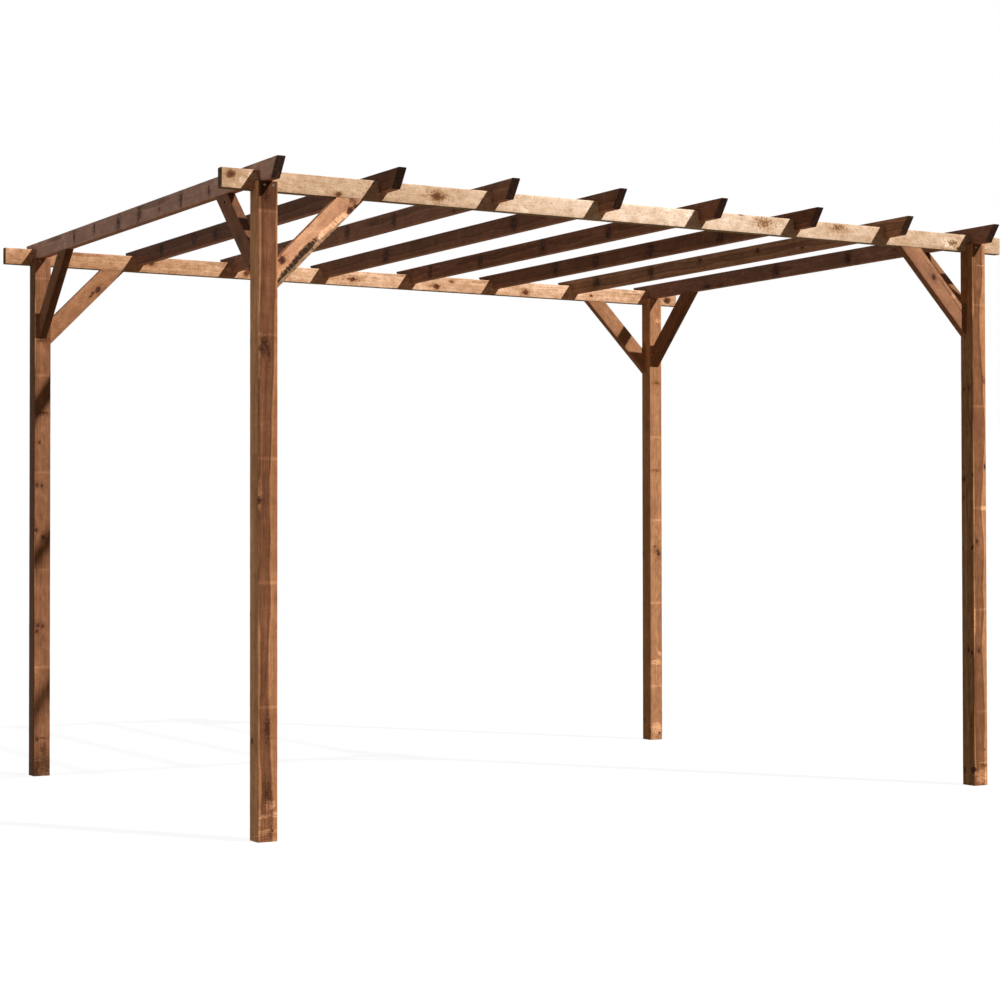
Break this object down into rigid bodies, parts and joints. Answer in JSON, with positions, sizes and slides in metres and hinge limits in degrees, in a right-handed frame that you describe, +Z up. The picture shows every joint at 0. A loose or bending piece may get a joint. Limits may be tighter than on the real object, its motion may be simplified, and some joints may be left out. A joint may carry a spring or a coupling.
{
  "type": "wooden pergola",
  "caption": "Free-standing open timber pergola: corner posts with halved heads, edge-laid beams, notched rafters with raked ends and mitred knee braces.",
  "frame": {"origin": "centre of the footprint on the floor, under the middle of the roof", "axes": "+X along the beams to the right as seen from the front, +Y along the rafters to the back, +Z up"},
  "size_m": [3.6, 2.7, 2.362],
  "materials": {
    "post_timber": "planed softwood, brown treated, eased arrises",
    "beam_timber": "planed softwood, pale tan",
    "rafter_timber": "planed softwood, brown treated, shaded",
    "brace_timber": "planed softwood, brown treated, mitred ends"
  },
  "bodies": {
    "root": {"post_front_left": "post_timber", "post_front_right": "post_timber", "post_rear_left": "post_timber", "post_rear_right": "post_timber", "beam_front": "beam_timber", "beam_rear": "beam_timber", "rafter_1": "rafter_timber", "rafter_2": "rafter_timber", "rafter_3": "rafter_timber", "rafter_4": "rafter_timber", "rafter_5": "rafter_timber", "rafter_6": "rafter_timber", "rafter_7": "rafter_timber", "rafter_8": "rafter_timber", "brace_to_beam_front_left": "brace_timber", "brace_to_beam_front_right": "brace_timber", "brace_to_beam_rear_left": "brace_timber", "brace_to_beam_rear_right": "brace_timber", "brace_to_rafter_front_left": "brace_timber", "brace_to_rafter_front_right": "brace_timber", "brace_to_rafter_rear_left": "brace_timber", "brace_to_rafter_rear_right": "brace_timber"}
  },
  "joints": []
}
